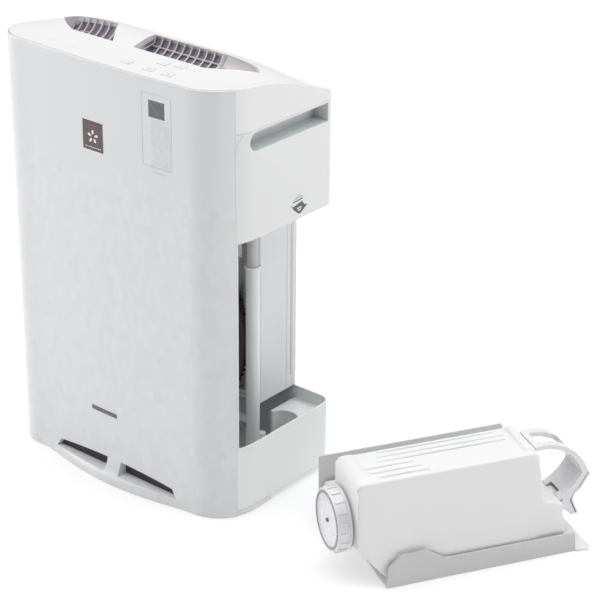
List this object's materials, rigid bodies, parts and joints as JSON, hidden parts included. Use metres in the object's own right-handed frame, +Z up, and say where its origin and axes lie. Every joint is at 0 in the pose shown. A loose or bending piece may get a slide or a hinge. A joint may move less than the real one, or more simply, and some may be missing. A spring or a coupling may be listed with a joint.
{
  "type": "humidifying air purifier",
  "caption": "Upright humidifying air purifier with bowed front, crowned top and open side bay; its lidded water tank lies beside it on the floor.",
  "frame": {"origin": "on the floor under the middle of the cabinet's footprint", "axes": "+Z up, -Y towards the front panel, +X towards the tank bay and the tank lying beside the cabinet"},
  "size_m": [0.7951, 0.3921, 0.6144],
  "materials": {
    "cabinet_white": "gloss",
    "inner_white": "satin",
    "tray_grey": "satin",
    "mesh_dark": "matte",
    "grille_grey": "satin",
    "plate_dark": "gloss",
    "window_dark": "gloss",
    "film_clear": "clear",
    "badge_grey": "gloss",
    "key_white": "satin",
    "foot_rubber": "matte",
    "steel": "brushed",
    "motor_case": "satin",
    "board_green": "matte",
    "part_black": "matte",
    "fan_grey": "satin",
    "wheel_brown": "satin",
    "wheel_fabric": "matte",
    "gear_white": "satin",
    "filter_white": "matte",
    "carbon_black": "matte",
    "prefilter_grey": "matte",
    "bottle_milk": "translucent",
    "casing_grey": "satin",
    "cap_white": "gloss",
    "seal_grey": "matte"
  },
  "bodies": {
    "cabinet": {"front_panel": "cabinet_white", "indicator_plate": "plate_dark", "display_window": "window_dark", "label_film": "film_clear", "badge": "badge_grey", "top_cover": "cabinet_white", "right_outlet_grille": "grille_grey", "left_outlet_grille": "grille_grey", "left_side_panel": "cabinet_white", "right_side_cover": "cabinet_white", "right_grip_cup": "inner_white", "left_grip_cup": "inner_white", "base_pan": "inner_white", "rubber_feet": "foot_rubber", "lower_lip": "cabinet_white", "lower_mouth": "inner_white", "lower_mesh": "mesh_dark", "bay_liner": "inner_white", "inner_wall": "inner_white", "bay_sill": "cabinet_white", "rear_sill": "inner_white", "power_inlet": "part_black", "fan_bulkhead": "inner_white", "filter_frame": "inner_white", "fan_motor": "motor_case", "scroll_housing": "inner_white", "control_board": "board_green", "dust_sensor": "part_black", "ion_generator": "part_black", "wheel_motor": "motor_case", "rear_screws": "steel"},
    "fan": {"fan_impeller": "fan_grey", "motor_shaft": "steel"},
    "tray": {"water_tray": "tray_grey", "wheel_stand": "tray_grey", "post_cap": "casing_grey"},
    "float": {"tray_float": "key_white"},
    "wheel": {"wheel_frame": "wheel_brown", "wheel_filter": "wheel_fabric"},
    "pinion": {"drive_pinion": "gear_white"},
    "hepa": {"hepa_frame": "inner_white", "hepa_pleats": "filter_white"},
    "carbon": {"carbon_frame": "inner_white", "carbon_core": "carbon_black"},
    "rear_cover": {"rear_panel": "inner_white", "prefilter_mesh": "prefilter_grey"},
    "tank": {"tank_casing": "casing_grey", "tank_bottle": "bottle_milk", "handle_lug": "casing_grey", "handle_pin": "steel"},
    "cap": {"tank_cap": "cap_white", "cap_seal": "seal_grey"},
    "valve": {"cap_valve": "seal_grey"},
    "handle": {"tank_handle": "cap_white"},
    "power_key": {"power_key": "key_white"},
    "mode_key": {"mode_key": "key_white"},
    "fan_speed_key": {"fan_speed_key": "key_white"},
    "humidify_key": {"humidify_key": "key_white"},
    "light_key": {"light_key": "key_white"}
  },
  "joints": [
    {"name": "tray_slide", "type": "slide", "parent": "cabinet", "child": "tray", "axis": [1, 0, 0], "range_m": [0, 0.36]},
    {"name": "tank_lift", "type": "slide", "parent": "tray", "child": "tank", "axis": [0, 0, 1], "range_m": [0, 0.7]},
    {"name": "rear_cover_pull", "type": "slide", "parent": "carbon", "child": "rear_cover", "axis": [0, 1, 0], "range_m": [0, 0.2]},
    {"name": "hepa_pull", "type": "slide", "parent": "cabinet", "child": "hepa", "axis": [0, 1, 0], "range_m": [0, 0.2]},
    {"name": "carbon_pull", "type": "slide", "parent": "hepa", "child": "carbon", "axis": [0, 1, 0], "range_m": [0, 0.2]},
    {"name": "wheel_spin", "type": "hinge", "parent": "tray", "child": "wheel", "pos_m": [-0.018, 0.028, 0.2], "axis": [0, 1, 0], "continuous": true},
    {"name": "pinion_spin", "type": "hinge", "parent": "cabinet", "child": "pinion", "pos_m": [-0.174, 0.028, 0.2], "axis": [0, 1, 0], "continuous": true},
    {"name": "fan_spin", "type": "hinge", "parent": "cabinet", "child": "fan", "pos_m": [-0.075, -0.041, 0.3], "axis": [0, 1, 0], "continuous": true},
    {"name": "float_rise", "type": "slide", "parent": "tray", "child": "float", "axis": [0, 0, 1], "range_m": [0, 0.015]},
    {"name": "handle_swing", "type": "hinge", "parent": "tank", "child": "handle", "pos_m": [0.53064, 0.1736, 0.056], "axis": [-0.866, 0.5, 0], "range_deg": [0, 40]},
    {"name": "cap_turn", "type": "hinge", "parent": "tank", "child": "cap", "pos_m": [0.37164, -0.1018, 0.08], "axis": [0.5, 0.866, 0], "continuous": true},
    {"name": "valve_press", "type": "slide", "parent": "cap", "child": "valve", "axis": [0.5, 0.866, 0], "range_m": [0, 0.005], "stiffness_N_per_m": 300, "springref_m": -0.004},
    {"name": "power_key_press", "type": "slide", "parent": "cabinet", "child": "power_key", "axis": [0, 0, -1], "range_m": [0, 0.001], "stiffness_N_per_m": 600, "springref_m": -0.001},
    {"name": "mode_key_press", "type": "slide", "parent": "cabinet", "child": "mode_key", "axis": [0, 0, -1], "range_m": [0, 0.001], "stiffness_N_per_m": 600, "springref_m": -0.001},
    {"name": "fan_speed_key_press", "type": "slide", "parent": "cabinet", "child": "fan_speed_key", "axis": [0, 0, -1], "range_m": [0, 0.001], "stiffness_N_per_m": 600, "springref_m": -0.001},
    {"name": "humidify_key_press", "type": "slide", "parent": "cabinet", "child": "humidify_key", "axis": [0, 0, -1], "range_m": [0, 0.001], "stiffness_N_per_m": 600, "springref_m": -0.001},
    {"name": "light_key_press", "type": "slide", "parent": "cabinet", "child": "light_key", "axis": [0, 0, -1], "range_m": [0, 0.001], "stiffness_N_per_m": 600, "springref_m": -0.001}
  ],
  "couplings": [
    {"joint": "pinion_spin", "follows": "wheel_spin", "ratio": -7.6667}
  ]
}
